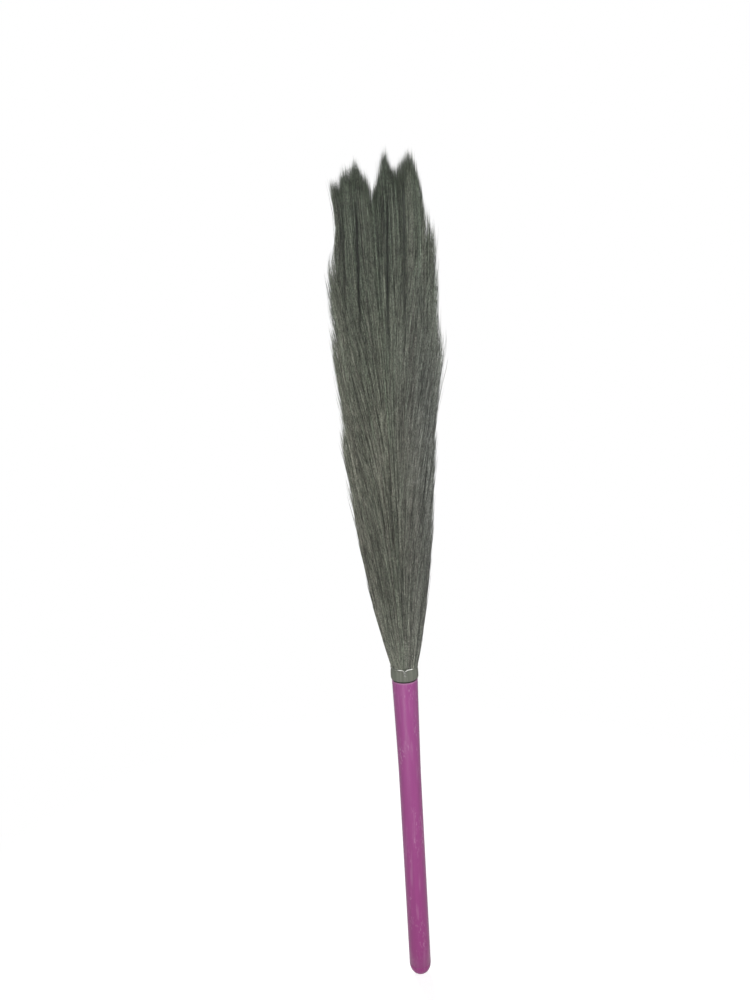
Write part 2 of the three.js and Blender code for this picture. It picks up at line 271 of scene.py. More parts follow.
# Bristles
# Thousands of hair-thin grey-green fibres that rise out of the butts and fan out over the neck. The
# short ones end all over the outside and the long ones draw together above into soft pointed tufts.
CLUMPS = 13500
CLUMP_FIBRES = 2
FIBRES = CLUMPS * CLUMP_FIBRES
FIBRE_SIDES = 3
FIBRE_RADIUS = 0.30 * MM
FIBRE_TAPER = 0.6
FIBRE_FOOT = -1.5 * MM
FIBRE_SHARES = np.array([0, 0.02, 0.06, 0.14, 0.28, 0.48, 0.68, 0.90, 0.965, 1])
SHORTEST_CLUMP = 50 * MM
SHORTEST_FIBRE = 40 * MM
# Short fibres end between these heights, which are up from the neck wire, as the next ones are.
FIRST_END = 20 * MM
LAST_END = 560 * MM
END_SPACING = 1.3
LONG_SHARE = 0.45
# The curve of the fan: where it starts, how far it spreads and over what length.
ROOT_RADIUS = 17.2 * MM
FAN_START = 2 * MM
FAN_SPREAD_X = 48 * MM
FAN_CURVE_X = 182 * MM
FAN_SPREAD_Y = 15.5 * MM
FAN_CURVE_Y = 200 * MM
SWAY = 2 * MM
SWAY_LENGTH = 100 * MM
# Where the sides bulge and draw in: how far, how high, and over what length below and above.
RIGHT_BULGE = np.array([7.5, 400, 60, 42]) * MM
LEFT_WAIST = np.array([14.5, 550, 24, 80]) * MM
RIGHT_WAIST = np.array([4.0, 605, 35, 35]) * MM
# The ragged top of the head, across and up, and the tufts that stand out at its sides, across, back, up.
TOP_EDGE = np.array([
    (-72, 400), (-68, 440), (-64, 525), (-60, 535), (-57, 575), (-55, 604), (-52, 618), (-47, 612),
    (-43, 617), (-38, 627), (-34, 630), (-31, 628), (-26, 640), (-21, 627), (-17, 618), (-14, 625),
    (-9, 600), (-4, 608), (2, 621), (5, 636), (9, 649), (12, 637), (15, 628), (20, 628), (26, 632),
    (31, 637), (36, 645), (40, 642), (44, 631), (48, 620), (51, 611), (54, 593), (56, 576), (60, 565),
    (66, 553), (68, 505), (69, 460), (73, 440),
]) * MM
SIDE_TUFTS = np.array([
    (-61, -4, 517), (-67, 6, 506), (-72, 0, 443), (-65, 2, 316),
    (75, 3, 562), (73, -4, 516), (83, 1, 452),
]) * MM
PEAKS = np.array([-53, -35, -26, 8, 36]) * MM
PEAKS_WITHIN = 60 * MM
ROWS = np.array([-22, 0, 22]) * MM
ROW_SHIFTS = np.array([6, -7, 3, -2, 8]) * MM
TUFT_LENGTH = 110 * MM
LOOSE_LENGTH = 140 * MM
MAP_CELLS = 64
MAP_MARGIN = 0.1
MAP_FOOT = 0.08
FIBRE_GREEN = (0.160, 0.194, 0.143, 1)
FIBRE_WARM = (0.222, 0.212, 0.177, 1)
FIBRE_COOL = (0.176, 0.190, 0.186, 1)
# Painted shade of dark grooves between tufts: across at two heights in the frame, how wide, and how light.
PAINTED_GROOVE_SHADES = ((-30, -26.5, 3.0, 0.1), (4, 9.5, 3.0, 0.1), (-47, -43, 2.4, 0.4), (24, 29, 2.4, 0.5))
GROOVE_LOW_Z = 740 * MM
GROOVE_HIGH_Z = 850 * MM
GROOVE_WANDER = 3 * MM
chance = np.random.default_rng(20)


def half_width(height):
    """Half of the head's width: the neck's, spreading fast and then slower."""
    above = np.maximum(height - FAN_START, 0)
    return ROOT_RADIUS + FAN_SPREAD_X * (1 - np.exp(-above / FAN_CURVE_X))


def half_depth(height):
    """Half of the head's depth, front to back."""
    return ROOT_RADIUS + FAN_SPREAD_Y * (1 - np.exp(-np.maximum(height, 0) / FAN_CURVE_Y))


def sway(height):
    """The head leans a little to its left."""
    return -SWAY * (1 - np.exp(-(height / SWAY_LENGTH) ** 2))


def side_shift(shape, height):
    """How far a bulge or a waist moves a side at a height, most in its middle."""
    most, middle, below, above = shape
    return most * np.exp(-((height - middle) / np.where(height < middle, below, above)) ** 2)


def outward(height):
    """How far the fibres have moved out at a height, as the short ones round them have ended."""
    ended = np.clip((height - FIRST_END) / (LAST_END - FIRST_END), 0, 1) ** END_SPACING
    return 1 / np.sqrt(1 - (1 - LONG_SHARE) * ended)


def sunflower(count):
    """Points spread evenly over a disc of radius 1."""
    number = np.arange(count) + 0.5
    radius = np.sqrt(number / count)
    angle = number * math.pi * (3 - math.sqrt(5))
    return np.stack([radius * np.cos(angle), radius * np.sin(angle)], axis=1)


def flow(roots, out, limit, height):
    """Where fibres are at a height: across, back, and out from the middle, which has a limit.

    Their roots are on a disc of radius 1 in the neck, and out is each root's distance from its middle.
    """
    moved = np.minimum(outward(height), limit / np.maximum(out, 0.01))
    sideward = np.clip(roots[..., 0] * moved, -1, 1)
    leftward = np.minimum(sideward, 0)
    rightward = np.maximum(sideward, 0)
    x = roots[..., 0] * moved * half_width(height) + sway(height)
    x = x + rightward ** 4 * side_shift(RIGHT_BULGE, height)
    x = x - leftward ** 3 * side_shift(LEFT_WAIST, height)
    x = x - rightward ** 3 * side_shift(RIGHT_WAIST, height)
    y = roots[..., 1] * moved * half_depth(height)
    return x, y, out * moved


def nearest(values, places):
    """The number of the place that is nearest to each value."""
    return np.argmin(np.abs(values[:, None] - places[None, :]), axis=1)


def on_disc(roots):
    """Roots brought back onto the disc, and their distance from its middle."""
    out = np.hypot(roots[:, 0], roots[:, 1])
    return roots / np.maximum(1, out)[:, None], np.minimum(out, 1)


# Clumps start all over the neck. Those in the middle of it are long, and the others end one by one,
# the outermost first. No fibre goes out past its clump's limit, a share of the head's half width.
CLUMP_SCATTER = 0.005
RANK_SCATTER = 0.06
LIMIT_MEAN = 0.995
LIMIT_SCATTER = 0.018
LIMIT_LEAST = 0.93
LIMIT_MOST = 1.022
clump_roots, clump_out = on_disc(sunflower(CLUMPS) + chance.normal(0, CLUMP_SCATTER, (CLUMPS, 2)))
rank = np.clip(clump_out ** 2 + chance.normal(0, RANK_SCATTER, CLUMPS), 0, 1)
is_long = rank < LONG_SHARE
ending = np.clip((1 - rank) / (1 - LONG_SHARE), 0, 1) ** (1 / END_SPACING)
short_reach = np.maximum(FIRST_END + (LAST_END - FIRST_END) * ending, SHORTEST_CLUMP)
clump_reach = np.where(is_long, LAST_END, short_reach)
clump_limit = np.clip(chance.normal(LIMIT_MEAN, LIMIT_SCATTER, CLUMPS), LIMIT_LEAST, LIMIT_MOST)
end_x, end_y, _ = flow(clump_roots, clump_out, clump_limit, clump_reach)

# Long clumps draw towards the nearest peak and row, and short ones towards a side tuft, if one is near.
TUFT_PULL = 0.18
SIDE_TUFT_SIZE = np.array([24, 14, 60]) * MM
SIDE_TUFT_REACH = 1.4
SIDE_PULL_X = 0.55
SIDE_PULL_Y = 0.3
SIDE_PULL_Z = 0.8
RIGHT_TUFTS_FROM = 53 * MM
peak = nearest(end_x, PEAKS)
peak_draw = chance.uniform(0, TUFT_PULL, CLUMPS) * (PEAKS[peak] - end_x)
peak_draw = np.where(np.abs(end_x) < PEAKS_WITHIN, peak_draw, 0)
row_shift = ROW_SHIFTS[peak]
row = row_shift + ROWS[nearest(end_y - row_shift, ROWS)]
to_tufts = np.stack([end_x, end_y, clump_reach], axis=1)[:, None, :] - SIDE_TUFTS[None, :, :]
to_tufts = np.linalg.norm(to_tufts / SIDE_TUFT_SIZE, axis=2)
side_tuft = SIDE_TUFTS[np.argmin(to_tufts, axis=1)]
in_side_tuft = ~is_long | (end_x > RIGHT_TUFTS_FROM)
side_pull = np.where(in_side_tuft, np.clip(SIDE_TUFT_REACH - np.min(to_tufts, axis=1), 0, 1), 0)
side_draw_x = SIDE_PULL_X * side_pull * (side_tuft[:, 0] - end_x)
side_draw_y = SIDE_PULL_Y * side_pull * (side_tuft[:, 1] - end_y)
draw_x = np.where(in_side_tuft, side_draw_x, peak_draw)
draw_y = np.where(in_side_tuft, side_draw_y, TUFT_PULL * (row - end_y))
clump_reach = clump_reach + SIDE_PULL_Z * side_pull * (side_tuft[:, 2] - clump_reach)

# Each fibre starts beside the middle of its clump and leans a little its own way towards its end.
FIBRE_SCATTER = 0.0035
FIBRE_LEAN = 0.004
CLUMP_LEAN_SIDEWAYS = 0.04
CLUMP_LEAN_OUT = 0.012
MEAN_LEAN_OUT = 0.003
MOST_LEAN_OUT = 0.03
LONG_LEAN_SHARE = 0.35
FULL_LEAN_LENGTH = 300 * MM
clump = np.repeat(np.arange(CLUMPS), CLUMP_FIBRES)
long = is_long[clump]
roots, root_out = on_disc(clump_roots[clump] + chance.normal(0, FIBRE_SCATTER, (FIBRES, 2)))
limit = clump_limit[clump]
reach = clump_reach[clump]
normal_x = roots[:, 0] / half_width(reach)
normal_y = roots[:, 1] / half_depth(reach)
normal_length = np.maximum(np.hypot(normal_x, normal_y), 1e-6)
normal_x, normal_y = normal_x / normal_length, normal_y / normal_length
lean_share = np.clip(reach / FULL_LEAN_LENGTH, 0, 1)
sideways = chance.normal(0, CLUMP_LEAN_SIDEWAYS, CLUMPS)[clump] + chance.normal(0, FIBRE_LEAN, FIBRES)
sideways *= np.where(long, LONG_LEAN_SHARE, 1) * lean_share
outwards = chance.normal(MEAN_LEAN_OUT, CLUMP_LEAN_OUT, CLUMPS)[clump]
outwards = outwards + chance.normal(0, FIBRE_LEAN, FIBRES)
outwards = np.clip(outwards, -MOST_LEAN_OUT, MOST_LEAN_OUT) * lean_share
lean_x = outwards * normal_x - sideways * normal_y
lean_y = outwards * normal_y + sideways * normal_x

# Long fibres end at the ragged top, lower away from their row and towards the front and the back.
TOP_SCATTER = 2 * MM
TOP_LIFT = 3 * MM
TOP_ROUNDING = 16 * MM
ROW_DROP = 0.6
CLUMP_DROP = 2 * MM
EVEN_SHARE = 0.8
EVEN_DROP = 9 * MM
UNEVEN_DROP = 24 * MM
tip_x, tip_y, _ = flow(roots, root_out, limit, reach)
tip_x = tip_x + draw_x[clump] + LOOSE_LENGTH * lean_x
top = np.interp(tip_x + chance.normal(0, TOP_SCATTER, FIBRES), TOP_EDGE[:, 0], TOP_EDGE[:, 1])
top += TOP_LIFT - TOP_ROUNDING * (tip_y / half_depth(LAST_END)) ** 2
top -= ROW_DROP * np.abs(row[clump] - tip_y)
drop = np.where(long & (chance.random(FIBRES) < EVEN_SHARE), EVEN_DROP, UNEVEN_DROP)
reach = np.where(long, top - chance.exponential(CLUMP_DROP, CLUMPS)[clump], reach)
reach = np.maximum(reach - drop * chance.exponential(1, FIBRES), SHORTEST_FIBRE)

# The path of each fibre: the flow of the head, fanned from the middle and gathered into its tuft.
FAN_PULL = 0.45
FAN_PULL_Y = 0.3
FAN_LOSS_AT_SIDE = 0.8
FAN_LENGTH = 85 * MM
FULL_FAN_HEIGHT = 200 * MM
heights = FIBRE_FOOT + FIBRE_SHARES[None, :] * (reach[:, None] - FIBRE_FOOT)
from_end = reach[:, None] - heights
path_x, path_y, path_out = flow(roots[:, None, :], root_out[:, None], limit[:, None], heights)
at_side = np.minimum(np.abs(tip_x / half_width(reach)), 1)
fan = np.where(long, 0, FAN_PULL * (1 - FAN_LOSS_AT_SIDE * at_side ** 4))
fan = fan[:, None] * np.clip(from_end / FAN_LENGTH, 0, 1) * np.clip(heights / FULL_FAN_HEIGHT, 0, 1)
gather = np.clip(1 - from_end / TUFT_LENGTH, 0, 1)
gather = gather * gather * (3 - 2 * gather)
drift = np.maximum(LOOSE_LENGTH - from_end, 0)
path_x = path_x * (1 - fan) + gather * draw_x[clump][:, None] + drift * lean_x[:, None]
path_y = path_y * (1 - FAN_PULL_Y * fan) + gather * draw_y[clump][:, None] + drift * lean_y[:, None]
path = np.stack([path_x, path_y, NECK_WIRE_Z + heights], axis=2)

# How light and how warm each fibre is: streaks round the head, clump by clump, and painted shade below the
# outside.
STREAK_TURNS = (3, 7, 13, 19)
STREAK_TONE = 0.03
STREAK_WARMTH = 2.5
TONE_MEAN = 0.95
TONE_MOST = 1.3
CLUMP_DARKENING = 0.42
FIBRE_TONE_SCATTER = 0.12
# Painted shade for fibres below the outside of the head: where it starts, over what depth and length, how
# dark.
PAINTED_SHADE_BELOW = 0.975
PAINTED_SHADE_DEPTH = 0.06
PAINTED_SHADE_LENGTH = 80 * MM
PAINTED_SHADE_DARKENING = 0.75
WARMTH_MEAN = 0.62
WARMTH_SCATTER = 0.16
clump_angle = np.arctan2(clump_roots[:, 1], clump_roots[:, 0])
streak = 0
for turns in STREAK_TURNS:
    streak = streak + STREAK_TONE * np.sin(clump_angle * turns + chance.uniform(0, math.tau))
clump_tone = TONE_MEAN + streak - chance.exponential(CLUMP_DARKENING, CLUMPS)
fibre_tone = np.clip(clump_tone[clump] + chance.normal(0, FIBRE_TONE_SCATTER, FIBRES), 0, TONE_MOST)
# Painted shade: fibres that lie below the outside of the head, away from their ends, are darkened.
depth_painted_shade = np.clip((PAINTED_SHADE_BELOW - path_out) / PAINTED_SHADE_DEPTH, 0, 1) * np.clip(from_end / PAINTED_SHADE_LENGTH, 0, 1)
tone_and_painted_shade = fibre_tone[:, None] * (1 - PAINTED_SHADE_DARKENING * depth_painted_shade)
clump_warmth = WARMTH_MEAN + STREAK_WARMTH * streak + chance.normal(0, WARMTH_SCATTER, CLUMPS)
warmth = np.repeat(clump_warmth[clump][:, None], len(FIBRE_SHARES), axis=1)

# One bristle, three-sided, from which every other is copied along its own path.
bpy.ops.object.select_all(action="DESELECT")
bpy.ops.mesh.primitive_circle_add(vertices=FIBRE_SIDES, radius=1, fill_type="NGON", location=(0, 0, 0))
bristle = bpy.context.active_object
bpy.ops.object.mode_set(mode="EDIT")
bpy.ops.mesh.select_all(action="SELECT")
for ring in range(1, len(FIBRE_SHARES)):
    bpy.ops.mesh.extrude_edges_move(TRANSFORM_OT_translate={"value": (0, 0, 1)})
bpy.ops.mesh.merge(type="CENTER")
bpy.ops.mesh.select_all(action="SELECT")
bpy.ops.mesh.normals_make_consistent(inside=False)
bpy.ops.object.mode_set(mode="OBJECT")

bristle_points = np.array([vertex.co for vertex in bristle.data.vertices])
bristle_ring = np.rint(bristle_points[:, 2]).astype(int)
bristle_angle = np.arctan2(bristle_points[:, 1], bristle_points[:, 0])
bristle_out = np.hypot(bristle_points[:, 0], bristle_points[:, 1])
bristle_corners = np.array([loop.vertex_index for loop in bristle.data.loops])
bristle_face_sizes = np.array([len(face.vertices) for face in bristle.data.polygons])


def on_map(corners):
    """Places of a face's corners in the bristle's map: its sides stand side by side, its foot below."""
    turns = np.rint(bristle_angle[corners] / math.tau * FIBRE_SIDES).astype(int) % FIBRE_SIDES
    rings = bristle_ring[corners]
    if not rings.any():
        return [(turn / FIBRE_SIDES, -MAP_FOOT * (turn == 1)) for turn in turns]
    is_tip = bristle_out[corners] < 0.5
    if {0, FIBRE_SIDES - 1} <= set(turns[~is_tip]):
        turns[turns == 0] = FIBRE_SIDES
    along = np.where(is_tip, np.mean(turns[~is_tip]), turns)
    return list(zip(along / FIBRE_SIDES, rings / (len(FIBRE_SHARES) - 1)))


bristle_map = np.array([
    spot for face in bristle.data.polygons for spot in on_map(np.array(face.vertices))])
bpy.data.objects.remove(bristle)

fibre_material, fibre_shader, start = finish("bristle_fibre", roughness=0.5, specular=0.4)
own_tone_and_shade = start.node("ShaderNodeAttribute", {"attribute_name": "tone_and_painted_shade"}, output="Fac")
own_warmth = start.node("ShaderNodeAttribute", {"attribute_name": "warmth"}, output="Fac")
rise = place_along(start, "Z")
across = place_along(start, "X")
greener = ranged(rise, 550 * MM, 900 * MM, 0.0, 0.6)
fibre_colour = mixed(start, own_warmth - greener, FIBRE_GREEN, FIBRE_WARM)
cooler = ranged(across, -5 * MM, 45 * MM, 0.0, 0.5) * ranged(rise, 800 * MM, 600 * MM)
fibre_colour = mixed(start, cooler, fibre_colour, FIBRE_COOL)
neck_level = ranged(rise, 360 * MM, 540 * MM, 0.71, 0.985, soft=True)
top_level = ranged(rise, 680 * MM, 830 * MM, 0.985, 0.715, soft=True)
lock_place = start.node("ShaderNodeCombineXYZ", inputs={"X": own_warmth * 5000, "Y": rise * 70})
lock_noise = start.node("ShaderNodeTexNoise", inputs={"Vector": lock_place, "Scale": 1.0, "Detail": 3.0})
lock_grain = ranged(lock_noise, 0.29, 0.59, 0.32, 1.32)
fine_grain = -0.7 + 3.4 * stretched_noise(start, (1200, 1200, 480), 1.0)
near_neck = ranged(rise, 600 * MM, 360 * MM)
# The fibres' own tone, with their painted shade, sets how light they are.
tone_and_shade_level = 0.25 + 0.1 * near_neck + (1.2 - 0.18 * near_neck) * own_tone_and_shade
level = neck_level * top_level * lock_grain * fine_grain * tone_and_shade_level
# Painted shade: the head is darkened along each groove line, most at its middle heights.
groove_painted_shade = ranged(rise, 640 * MM, 740 * MM, soft=True) * ranged(rise, 865 * MM, 810 * MM, soft=True)
wander = stretched_noise(start, (1, 1, 40)) * GROOVE_WANDER - GROOVE_WANDER / 2
for low_x, high_x, width, light in PAINTED_GROOVE_SHADES:
    slope = (high_x - low_x) * MM / (GROOVE_HIGH_Z - GROOVE_LOW_Z)
    line = low_x * MM + (rise - GROOVE_LOW_Z) * slope
    from_line = start.maths("ABSOLUTE", across + wander - line, 0)
    level = level * (1 - groove_painted_shade * ranged(from_line, 0.0, width * MM, 1 - light, 0.0, soft=True))
feed(fibre_shader, Base_Color=shaded(start, fibre_colour, level))

# Every quarter of the head is an inner and an outer piece. In its map each fibre has a cell of its own.
root_quarter = np.rint(np.arctan2(roots[:, 1], roots[:, 0]) / (math.pi / 2)).astype(int) % 4
thickness = FIBRE_RADIUS * (1 - FIBRE_TAPER * FIBRE_SHARES ** 5)
for number, name in enumerate(["right", "back", "left", "front"]):
    members = np.flatnonzero(root_quarter == number)
    members = members[np.argsort(root_out[members], kind="stable")]
    for part, chosen in zip(["inner", "outer"], np.array_split(members, 2)):
        spin = chance.uniform(0, math.tau, len(chosen))[:, None] + bristle_angle[None, :]
        from_path = (thickness[bristle_ring] * bristle_out)[None, :]
        points = path[chosen][:, bristle_ring, :].copy()
        points[:, :, 0] += from_path * np.cos(spin)
        points[:, :, 1] += from_path * np.sin(spin)
        first_point = (np.arange(len(chosen)) * len(bristle_points))[:, None]
        corners = (first_point + bristle_corners[None, :]).ravel()
        sizes = np.tile(bristle_face_sizes, len(chosen))

        mesh = bpy.data.meshes.new("bristles_" + name + "_" + part)
        mesh.vertices.add(len(chosen) * len(bristle_points))
        mesh.vertices.foreach_set("co", points.astype(np.float32).ravel())
        mesh.loops.add(len(corners))
        mesh.loops.foreach_set("vertex_index", corners.astype(np.int32))
        mesh.polygons.add(len(sizes))
        mesh.polygons.foreach_set("loop_start", (np.cumsum(sizes) - sizes).astype(np.int32))
        mesh.update(calc_edges=True)
        for label, values in (("tone_and_painted_shade", tone_and_painted_shade), ("warmth", warmth)):
            layer = mesh.attributes.new(label, "FLOAT", "POINT")
            layer.data.foreach_set("value", values[chosen][:, bristle_ring].astype(np.float32).ravel())
        cell = np.arange(len(chosen))
        cell_corner = np.stack([cell % MAP_CELLS, cell // MAP_CELLS], axis=1)[:, None, :]
        cell_places = MAP_MARGIN + (1 - 2 * MAP_MARGIN) * bristle_map[None, :, :]
        uv_places = (cell_corner + cell_places) / MAP_CELLS
        uv_map = mesh.uv_layers.new(name="OFBake")
        uv_map.data.foreach_set("uv", uv_places.astype(np.float32).ravel())
        mesh.shade_smooth()
        mesh.validate()

        piece = bpy.data.objects.new(mesh.name, mesh)
        bpy.context.collection.objects.link(piece)
        mesh.materials.append(fibre_material)
        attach(piece, "root")
        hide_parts("bunch_" + name)

# Wire round the butts and wooden peg
# Both are inside the handle: a few turns of thin galvanised wire keep the four butts in order, and a
# whittled peg driven up between them spreads them against the tube.
ZINC_DULL = (0.100, 0.108, 0.092, 1)
ZINC_BLOOM = (0.160, 0.164, 0.145, 1)
ZINC_GLINT = (0.62, 0.62, 0.585, 1)
# Where the painted highlight lies across the front of the wire, and how wide it is.
GLINT_X = 0.8 * MM
GLINT_HALF_WIDTH = 8 * MM
GLINT_EDGE = 3 * MM
PEG_DARK = (0.30, 0.17, 0.075, 1)
PEG_PALE = (0.55, 0.36, 0.18, 1)

# Painted highlight: the dull zinc is made bright and more metallic across the wire's front and above its
# tail; its blooms are its own.
wire_material, wire_shader, start = finish("galvanised_wire")
wire_bloom = stretched_noise(start, (900, 900, 900))
from_glint = start.maths("ABSOLUTE", place_along(start, "X") - GLINT_X, 0)
front_painted_glint = ranged(
    from_glint, GLINT_HALF_WIDTH, GLINT_HALF_WIDTH + GLINT_EDGE, 1.0, 0.0, soft=True)
above_tail = ranged(
    place_along(start, "Z"), NECK_WIRE_Z - 1.1 * MM, NECK_WIRE_Z - 0.1 * MM, soft=True)
painted_glint = front_painted_glint * (0.15 + 0.85 * above_tail)
dull_zinc = mixed(start, wire_bloom, ZINC_DULL, ZINC_BLOOM)
feed(
    wire_shader,
    Base_Color=mixed(start, painted_glint, dull_zinc, ZINC_GLINT),
    Metallic=0.3 + 0.7 * painted_glint,
    Roughness=0.50 - 0.15 * painted_glint + 0.15 * wire_bloom)
peg_material, peg_shader, start = finish("whittled_wood", roughness=0.7, specular=0.15)
peg_grain = stretched_noise(start, (700, 700, 18))
feed(
    peg_shader,
    Base_Color=mixed(start, peg_grain, PEG_DARK, PEG_PALE),
    Normal=raised(peg_grain, 0.3, 0.2 * MM))
for node, material in (("butt_wire", wire_material), ("wedge_peg", peg_material)):
    cad_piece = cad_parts[node]
    cad_piece.data.materials.clear()
    cad_piece.data.materials.append(material)

# Handle tube
# A thin-walled tube of satin magenta plastic, extruded, which leaves faint lines along it. Its mouth
# was warmed and spread into a slow cone, so that the butts could be driven in.
END_Z = -200 * MM
TUBE_RADIUS = 15 * MM
TUBE_BOTTOM_Z = -183.4 * MM
TUBE_SIDES = 128
TUBE_RINGS = 10
CUT_EDGE_IN = 0.12 * MM
CUT_EDGE_UP = 0.15 * MM
MOUTH_RADIUS = 17.25 * MM
MOUTH_ROUND = 0.7 * MM
MOUTH_ROUND_RINGS = 5
MOUTH_CHAMFER = 0.3 * MM
FLARE_CURVE = 1.2
MAGENTA = (0.238, 0.056, 0.180, 1)
MAGENTA_BELOW = (0.205, 0.037, 0.139, 1)
PALING = 0.14

tube_outside = [(TUBE_RADIUS - CUT_EDGE_IN, TUBE_BOTTOM_Z), (TUBE_RADIUS, TUBE_BOTTOM_Z + CUT_EDGE_UP)]
ring_shares = np.linspace(1 / TUBE_RINGS, 1, TUBE_RINGS)
for share in ring_shares:
    tube_outside.append((TUBE_RADIUS, TUBE_BOTTOM_Z + share * (FLARE_BOTTOM_Z - TUBE_BOTTOM_Z)))
round_z = MOUTH_Z - MOUTH_ROUND
for share in ring_shares:
    spread = (MOUTH_RADIUS - TUBE_RADIUS) * share ** FLARE_CURVE
    tube_outside.append((TUBE_RADIUS + spread, FLARE_BOTTOM_Z + share * (round_z - FLARE_BOTTOM_Z)))
for bend in np.linspace(0, math.pi / 2, MOUTH_ROUND_RINGS + 1)[1:]:
    inset = MOUTH_ROUND * (1 - math.cos(bend))
    tube_outside.append((MOUTH_RADIUS - inset, round_z + MOUTH_ROUND * math.sin(bend)))
tube_inside = [
    (MOUTH_BORE_RADIUS + MOUTH_CHAMFER, MOUTH_Z),
    (MOUTH_BORE_RADIUS, MOUTH_Z - MOUTH_CHAMFER),
    (BORE_RADIUS, FLARE_BOTTOM_Z),
    (BORE_RADIUS, TUBE_BOTTOM_Z),
    tube_outside[0],
]
tube = turned("handle_tube_satin", tube_outside + tube_inside, TUBE_SIDES)
bpy.ops.object.shade_smooth_by_angle(angle=math.radians(40))

# Lines from the die run along the plastic. It is mottled, dull where hands rub it, scuffed in patches,
# has a painted highlight along the rim of the mouth and is darker towards its lower end.
plastic_material, plastic_shader, start = finish("satin_magenta", specular=0.13)
die_lines = stretched_noise(start, (420, 420, 4), 4.0)
mottle = stretched_noise(start, (70, 70, 16))
dulled = ranged(stretched_noise(start, (240, 240, 22), 5.0), 0.56, 0.74)
worn_patch = ranged(stretched_noise(start, (60, 60, 14)), 0.48, 0.60)
scuffs = worn_patch * ranged(stretched_noise(start, (620, 620, 150)), 0.57, 0.66)
up_handle = place_along(start, "Z")
# Painted highlight: the plastic is made pale along the rim of the mouth.
rim_painted_highlight = ranged(up_handle, MOUTH_Z - 2.2 * MM, MOUTH_Z - 0.8 * MM)
wear_and_rim_highlight = start.maths("MAXIMUM", start.maths("MAXIMUM", dulled * 0.28, scuffs * 0.6), rim_painted_highlight * 0.55)
pale_magenta = tuple((1 - PALING) * part + PALING for part in MAGENTA)
magenta = mixed(start, ranged(up_handle, END_Z, MOUTH_Z), MAGENTA_BELOW, MAGENTA)
feed(
    plastic_shader,
    Base_Color=shaded(
        start, mixed(start, wear_and_rim_highlight, magenta, pale_magenta), 0.80 + 0.24 * die_lines + 0.16 * mottle),
    Roughness=0.30 + 0.10 * mottle + 0.18 * dulled,
    Normal=raised(die_lines, 0.15, 0.15 * MM))
tube.data.materials.append(plastic_material)
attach(tube, "root")
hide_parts("handle_tube")

# End plug
# A moulded plug of the same plastic closes the lower end of the tube: a dome that the broom stands on,
# and a barbed spigot, pushed up into the tube, that holds it.
DOME_HEIGHT = 16.5 * MM
DOME_SQUARENESS = 0.87
DOME_RINGS = 24
END_FLAT_RADIUS = 4 * MM
LEDGE_IN = 0.3 * MM
LEDGE_UP = 0.15 * MM
SPIGOT_RADIUS = 12.7 * MM
SPIGOT_LENGTH = 26 * MM
SPIGOT_LEAD = 0.5 * MM
SPIGOT_WALL = 1.8 * MM
BARBS = 3
BARB_HEIGHT = 0.5 * MM
BARB_RISE = 0.65 * MM
BARB_SLOPE = 2.6 * MM
HOLLOW_EDGE_Z = END_Z + 10 * MM
HOLLOW_FLOOR_Z = END_Z + 5 * MM
HOLLOW_FLOOR_RADIUS = 5.9 * MM

spigot_z = END_Z + DOME_HEIGHT
lowest = math.asin((END_FLAT_RADIUS / TUBE_RADIUS) ** (1 / DOME_SQUARENESS))
stretch = DOME_HEIGHT / math.cos(lowest) ** DOME_SQUARENESS
plug_stations = []
for bend in np.linspace(lowest, math.pi / 2, DOME_RINGS):
    below = stretch * max(0, math.cos(bend)) ** DOME_SQUARENESS
    plug_stations.append((TUBE_RADIUS * math.sin(bend) ** DOME_SQUARENESS, spigot_z - below))
plug_stations += [(TUBE_RADIUS - LEDGE_IN, spigot_z + LEDGE_UP), (SPIGOT_RADIUS, spigot_z + LEDGE_UP)]
for barb in range(1, BARBS + 1):
    barb_z = spigot_z + barb * SPIGOT_LENGTH / (BARBS + 1)
    plug_stations += [
        (SPIGOT_RADIUS, barb_z),
        (SPIGOT_RADIUS + BARB_HEIGHT, barb_z + BARB_RISE),
        (SPIGOT_RADIUS, barb_z + BARB_RISE + BARB_SLOPE),
    ]
plug_stations += [
    (SPIGOT_RADIUS - SPIGOT_LEAD, spigot_z + SPIGOT_LENGTH),
    (SPIGOT_RADIUS - SPIGOT_WALL, spigot_z + SPIGOT_LENGTH),
    (SPIGOT_RADIUS - SPIGOT_WALL, HOLLOW_EDGE_Z),
    (HOLLOW_FLOOR_RADIUS, HOLLOW_FLOOR_Z),
]
plug = turned("end_plug_satin", plug_stations, TUBE_SIDES)
bpy.ops.object.shade_smooth_by_angle(angle=math.radians(35))
plug.data.materials.append(plastic_material)
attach(plug, "root")
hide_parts("end_plug")

# Neck wire
# One loop of galvanised wire, drawn tight round the bristles just above the handle. Its two ends are
# twisted together at the front and bent down against the neck.
WIRE_RADIUS = 0.7 * MM
LOOP_RADIUS = 17.85 * MM
LOOP_POINTS = 60
TAIL_OPENING = 0.15
TAIL_POINTS = 14
TAIL_TWIST = 1.075 * MM
TAIL_OUT = 20.475 * MM
TAIL_TOP_Z = NECK_WIRE_Z - 0.5 * MM
TAIL_LENGTH = 7 * MM


def tail(first_turn):
    """Points down one of the two twisted ends."""
    points = []
    for share in np.linspace(0, 1, TAIL_POINTS):
        turn = first_turn + share * math.tau
        twist_x, twist_y = TAIL_TWIST * math.cos(turn), TAIL_TWIST * math.sin(turn)
        points.append((twist_x, twist_y - TAIL_OUT, TAIL_TOP_Z - share * TAIL_LENGTH))
    return points


